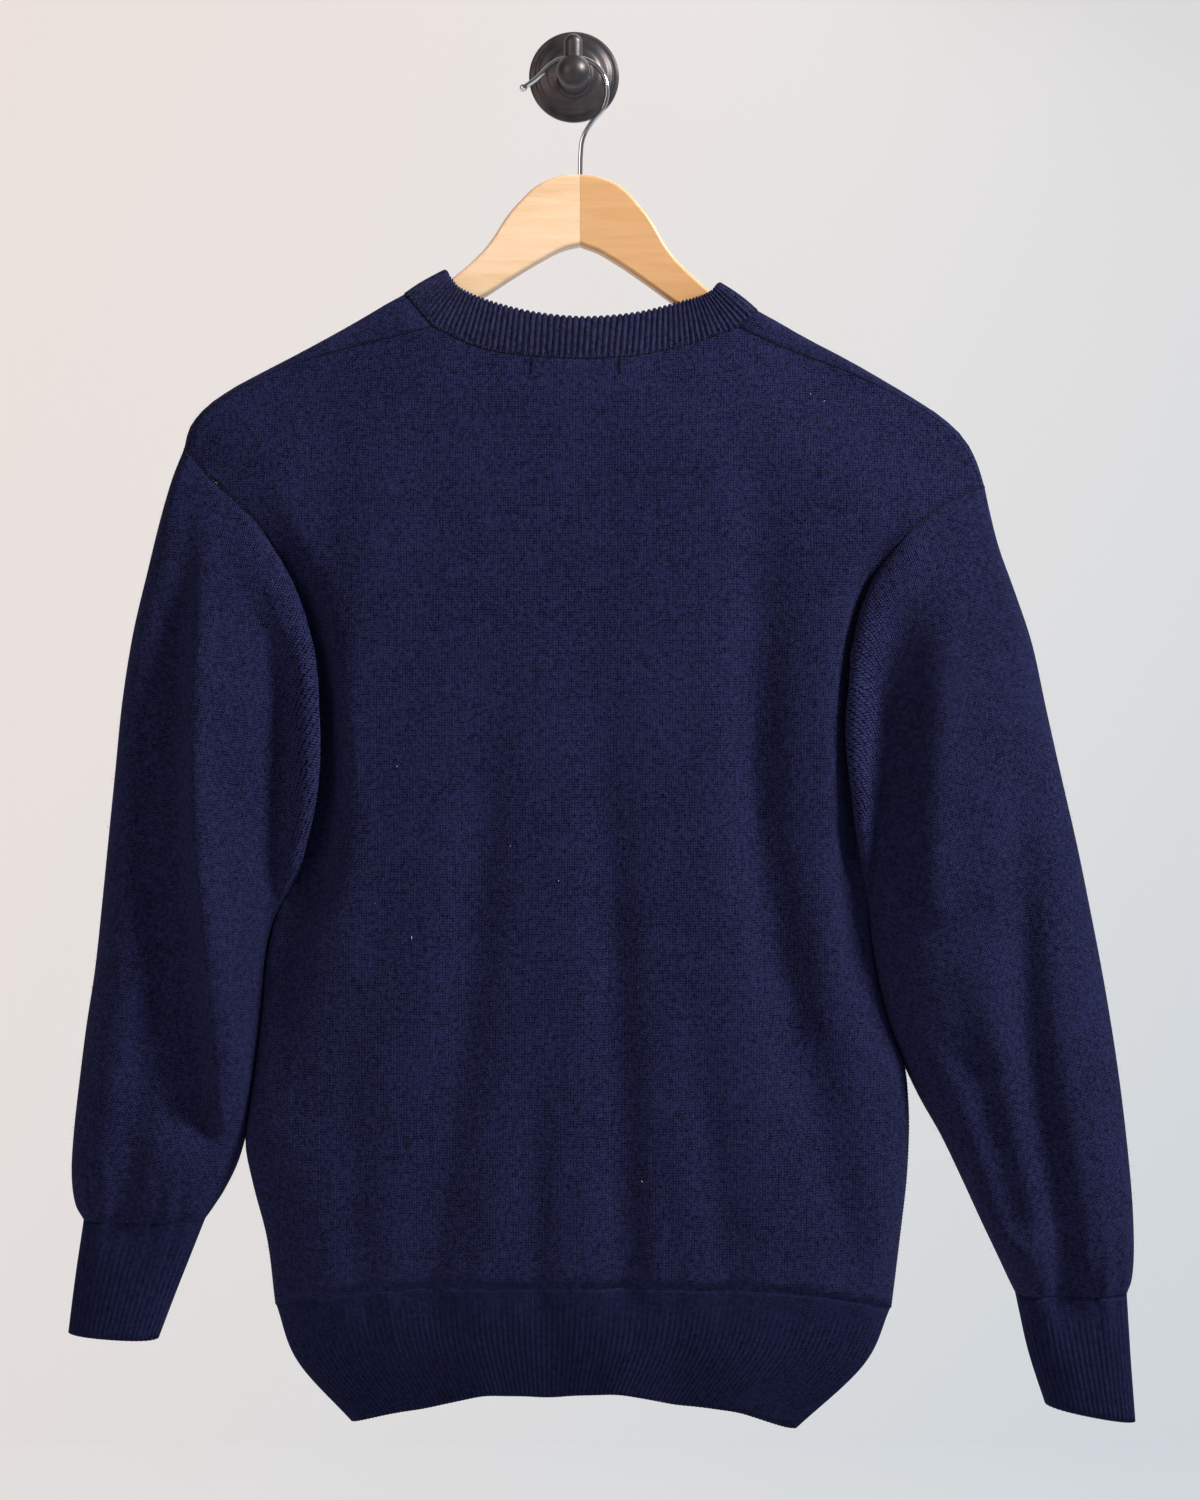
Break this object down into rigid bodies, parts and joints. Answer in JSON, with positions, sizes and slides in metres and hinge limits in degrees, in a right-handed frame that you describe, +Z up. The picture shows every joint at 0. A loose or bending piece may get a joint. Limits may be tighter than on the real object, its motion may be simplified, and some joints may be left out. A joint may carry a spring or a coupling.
{
  "type": "crewneck sweater on hanger and wall hook",
  "caption": "Long-sleeved crewneck sweater with ribbed neckband, cuffs and hem, seen from its back, on a flat wooden hanger that hangs from a wall hook.",
  "frame": {"origin": "middle of the wall plate's back face, on the wall", "axes": "+X to the viewer's right, +Z up, +Y into the wall"},
  "size_m": [0.6346, 0.0801, 0.8414],
  "materials": {
    "back_panel": "matt navy stocking-stitch wool knit",
    "front_panel": "matt navy stocking-stitch wool knit",
    "sleeve_left": "matt navy stocking-stitch wool knit",
    "sleeve_right": "matt navy stocking-stitch wool knit",
    "neckband": "matt navy one-by-one rib knit",
    "cuff_left": "matt navy one-by-one rib knit",
    "cuff_right": "matt navy one-by-one rib knit",
    "hem_rib_back": "matt navy one-by-one rib knit",
    "hem_rib_front": "matt navy one-by-one rib knit",
    "hanger_arm_left": "clear-lacquered pale maple",
    "hanger_arm_right": "clear-lacquered pale maple",
    "hanger_wire": "bright plated steel wire",
    "hook_post": "dark bronzed, satin",
    "wall_plate": "dark bronzed, satin"
  },
  "bodies": {
    "root": {"back_panel": "back_panel", "front_panel": "front_panel", "sleeve_left": "sleeve_left", "sleeve_right": "sleeve_right", "neckband": "neckband", "cuff_left": "cuff_left", "cuff_right": "cuff_right", "hem_rib_back": "hem_rib_back", "hem_rib_front": "hem_rib_front", "hanger_arm_left": "hanger_arm_left", "hanger_arm_right": "hanger_arm_right", "hanger_wire": "hanger_wire", "hook_post": "hook_post", "wall_plate": "wall_plate"}
  },
  "joints": []
}
